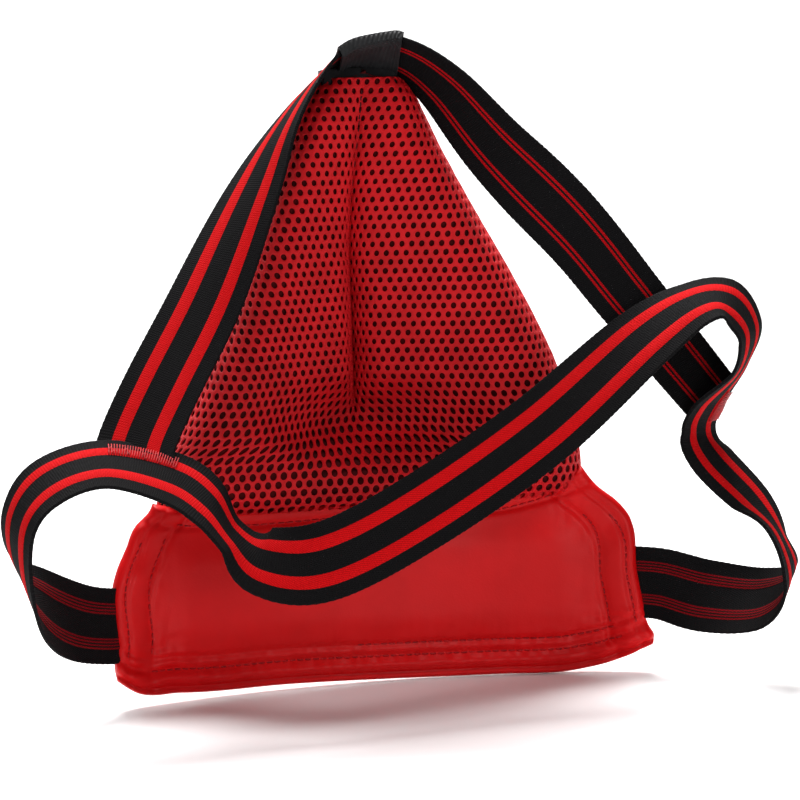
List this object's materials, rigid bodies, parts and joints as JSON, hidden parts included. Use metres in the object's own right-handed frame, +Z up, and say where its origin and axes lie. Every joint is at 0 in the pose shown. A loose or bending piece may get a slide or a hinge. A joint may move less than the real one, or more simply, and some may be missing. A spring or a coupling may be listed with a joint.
{
  "type": "groin guard",
  "caption": "Padded groin guard with a mesh-lined cup, a waist panel, an elastic waistband and a leg strap through a keeper.",
  "frame": {"origin": "on the plane that the waist edge rests on, at the middle of the panel's body side", "axes": "+Z up from the waist edge to the cup's apex, +X along the waist panel, -Y towards the wearer's body"},
  "size_m": [0.4049, 0.1619, 0.3387],
  "materials": {
    "red_vinyl": "glossy vinyl-coated fabric",
    "foam": "open-cell foam",
    "red_thread": "polyester sewing thread",
    "dark_thread": "polyester sewing thread",
    "striped_elastic": "woven elastic, black with two red stripes",
    "air_mesh": "knitted 3-D spacer mesh",
    "black_tape": "ribbed woven tape",
    "cup_plastic": "moulded polypropylene"
  },
  "bodies": {
    "waist": {"panel_inner_skin": "red_vinyl", "panel_foam": "foam", "panel_outer_skin": "red_vinyl", "waist_edge_roll": "red_vinyl", "side_hem_left": "red_vinyl", "side_hem_right": "red_vinyl", "panel_top_stitch": "red_thread", "waist_edge_stitch": "red_thread", "side_stitch_left": "red_thread", "side_stitch_right": "red_thread", "waistband_left": "striped_elastic", "waistband_right": "striped_elastic", "leg_strap": "striped_elastic", "bartack_left": "red_thread", "bartack_right": "red_thread"},
    "cup": {"outer_cover_left": "red_vinyl", "outer_cover_right": "red_vinyl", "outer_cover_seam": "red_vinyl", "outer_foam": "foam", "cup_shell": "cup_plastic", "mesh_lining_left": "air_mesh", "mesh_lining_right": "air_mesh", "rim_padding": "foam", "lining_foam": "foam", "dart_stitch": "dark_thread", "apex_keeper": "black_tape", "apex_tab": "black_tape", "keeper_stitch": "dark_thread"}
  },
  "joints": [
    {"name": "panel_fold", "type": "hinge", "parent": "waist", "child": "cup", "pos_m": [0, 0, 0.092], "axis": [1, 0, 0], "range_deg": [-20, 20], "deforming": ["leg_strap"]}
  ]
}
